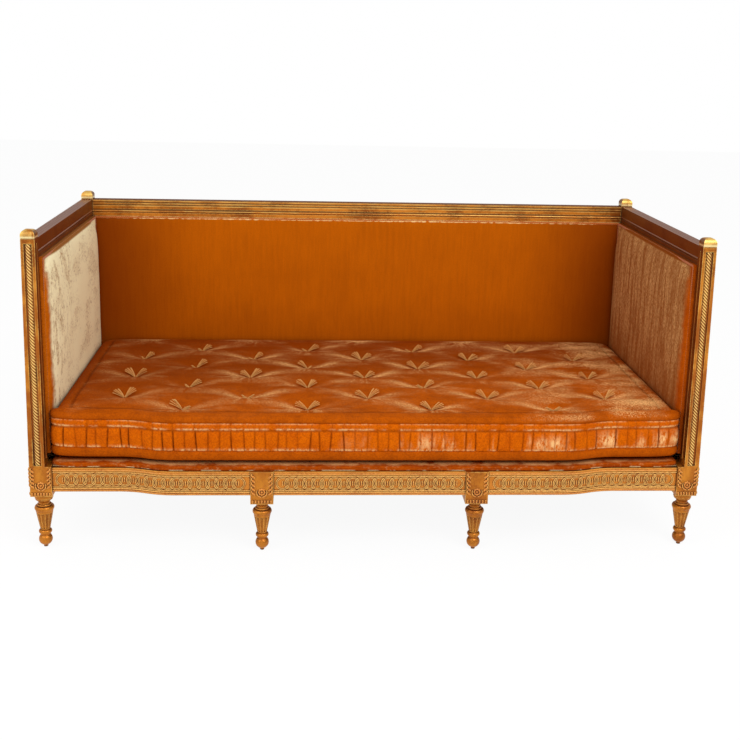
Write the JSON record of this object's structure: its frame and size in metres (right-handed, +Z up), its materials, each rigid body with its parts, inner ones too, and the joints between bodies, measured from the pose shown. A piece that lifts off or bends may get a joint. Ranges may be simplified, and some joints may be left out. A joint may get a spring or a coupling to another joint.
{
  "type": "recamier",
  "caption": "Giltwood recamier with three sides of one height, fluted turned legs, an orange velvet deck and a loose tufted mattress.",
  "frame": {"origin": "on the floor, under the middle of the whole piece's width and depth", "axes": "+X to the right seen from the open front, +Y towards the upholstered back, +Z up"},
  "size_m": [2, 0.93, 0.964],
  "materials": {
    "gilt_wood": "water gilding over red bole, worn and carved",
    "bare_wood": "planed beech, unfinished",
    "velvet": "orange silk velvet, crushed and rubbed",
    "gimp": "woven braid",
    "tuft_yarn": "flat tan ribbon",
    "webbing": "plain woven jute bands",
    "hessian": "open plain weave",
    "dust_cloth": "thin black cotton",
    "steel": "blued steel"
  },
  "bodies": {
    "frame": {"back_centre_seat_rail": "gilt_wood", "back_gimp": "gimp", "back_hessian": "hessian", "back_left_inner_leg": "gilt_wood", "back_left_post": "gilt_wood", "back_left_seat_rail": "gilt_wood", "back_lower_rail": "bare_wood", "back_outer_cover": "velvet", "back_pad": "velvet", "back_right_inner_leg": "gilt_wood", "back_right_post": "gilt_wood", "back_right_seat_rail": "gilt_wood", "back_top_rail": "gilt_wood", "back_webbing": "webbing", "corner_block_screws": "steel", "corner_blocks": "bare_wood", "dust_cover": "dust_cloth", "front_centre_seat_rail": "gilt_wood", "front_left_inner_leg": "gilt_wood", "front_left_post": "gilt_wood", "front_left_seat_rail": "gilt_wood", "front_right_inner_leg": "gilt_wood", "front_right_post": "gilt_wood", "front_right_seat_rail": "gilt_wood", "joint_pegs": "bare_wood", "left_arm_gimp": "gimp", "left_arm_hessian": "hessian", "left_arm_lower_rail": "bare_wood", "left_arm_outer_cover": "velvet", "left_arm_pad": "velvet", "left_arm_top_rail": "gilt_wood", "left_arm_webbing": "webbing", "left_back_stud": "bare_wood", "left_seat_bearer": "bare_wood", "left_side_seat_rail": "gilt_wood", "right_arm_gimp": "gimp", "right_arm_hessian": "hessian", "right_arm_lower_rail": "bare_wood", "right_arm_outer_cover": "velvet", "right_arm_pad": "velvet", "right_arm_top_rail": "gilt_wood", "right_arm_webbing": "webbing", "right_back_stud": "bare_wood", "right_seat_bearer": "bare_wood", "right_side_seat_rail": "gilt_wood", "seat_deck_cover": "velvet", "seat_deck_pad": "velvet", "seat_hessian": "hessian", "seat_webbing_across": "webbing", "seat_webbing_along": "webbing", "upholstery_tacks": "steel"},
    "mattress": {"mattress": "velvet", "mattress_top_tufts": "tuft_yarn", "mattress_bottom_tufts": "tuft_yarn", "mattress_tuft_ties": "tuft_yarn"}
  },
  "joints": [
    {"name": "mattress_lift", "type": "slide", "parent": "frame", "child": "mattress", "axis": [0, 0, 1], "range_m": [0, 0.7]}
  ]
}
